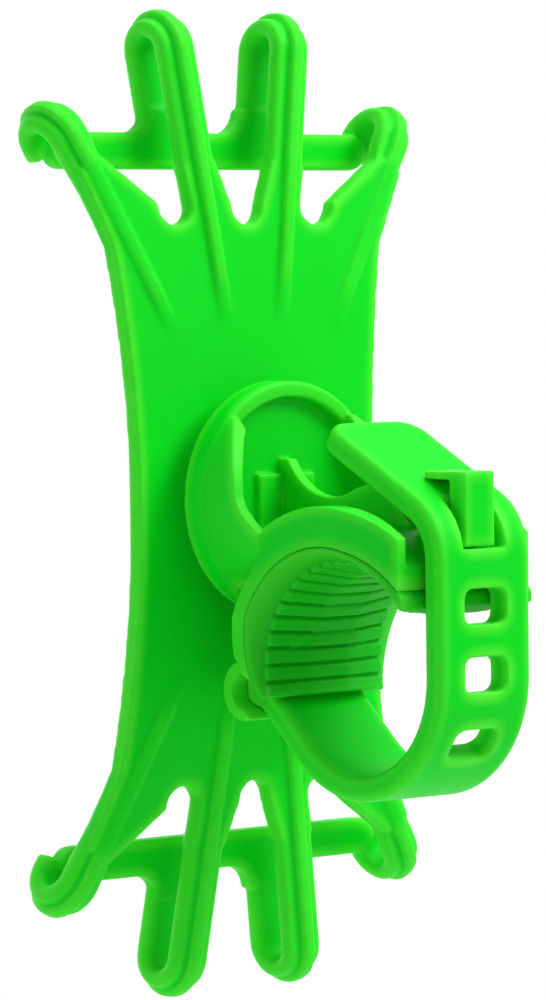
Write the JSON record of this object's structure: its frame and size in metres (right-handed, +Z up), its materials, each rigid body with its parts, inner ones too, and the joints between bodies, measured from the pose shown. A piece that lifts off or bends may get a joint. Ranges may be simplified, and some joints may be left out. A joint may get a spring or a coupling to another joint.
{
  "type": "handlebar phone holder",
  "caption": "Soft finger cradle that stretches over the ends of a phone and swivels on a ribbed saddle clamp, held on a handlebar by a perforated strap and hook.",
  "frame": {"origin": "on the axis of the handlebar, in the middle plane of the clamp", "axes": "+X along the handlebar, +Y from the bar to the phone, +Z up along the phone"},
  "size_m": [0.0796, 0.0692, 0.161],
  "materials": {
    "silicone": "satin",
    "hard_plastic": "satin",
    "screw_steel": "satin"
  },
  "bodies": {
    "clamp": {"clamp_base": "hard_plastic", "grip_pad": "silicone", "strap": "silicone", "swivel_plate": "hard_plastic", "swivel_screw": "screw_steel"},
    "cradle": {"phone_cradle": "silicone"}
  },
  "joints": [
    {"name": "swivel", "type": "hinge", "parent": "clamp", "child": "cradle", "pos_m": [0, 0.033, 0.027], "axis": [0, 1, 0], "continuous": true}
  ]
}
